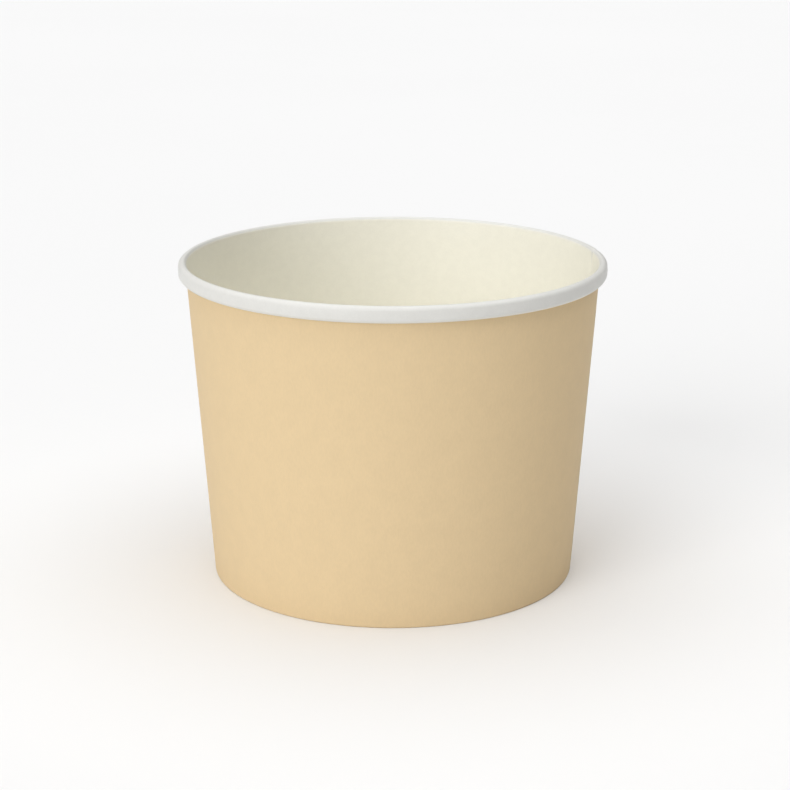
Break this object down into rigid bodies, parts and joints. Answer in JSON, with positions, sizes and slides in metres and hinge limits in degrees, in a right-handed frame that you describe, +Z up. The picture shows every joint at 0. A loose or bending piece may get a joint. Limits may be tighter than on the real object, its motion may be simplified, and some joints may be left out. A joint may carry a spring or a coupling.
{
  "type": "paper ice cream tub",
  "caption": "Open round paper tub for ice cream, with a tapered side wall, a rolled rim for a lid and a bottom disc held up inside a folded base.",
  "frame": {"origin": "centre of the base ring, on the surface that the tub stands on", "axes": "+Z up along the tub's axis, out of its mouth; +X towards the lap seam's outer raw edge, from which the seam runs 12 degrees towards +Y"},
  "size_m": [0.098, 0.098, 0.074],
  "materials": {
    "printed_board": "plain tan print on coated paper board, satin",
    "white_board": "white board with a thin film, soft satin"
  },
  "bodies": {
    "root": {"side_wall": "printed_board", "bottom_disc": "white_board"}
  },
  "joints": []
}
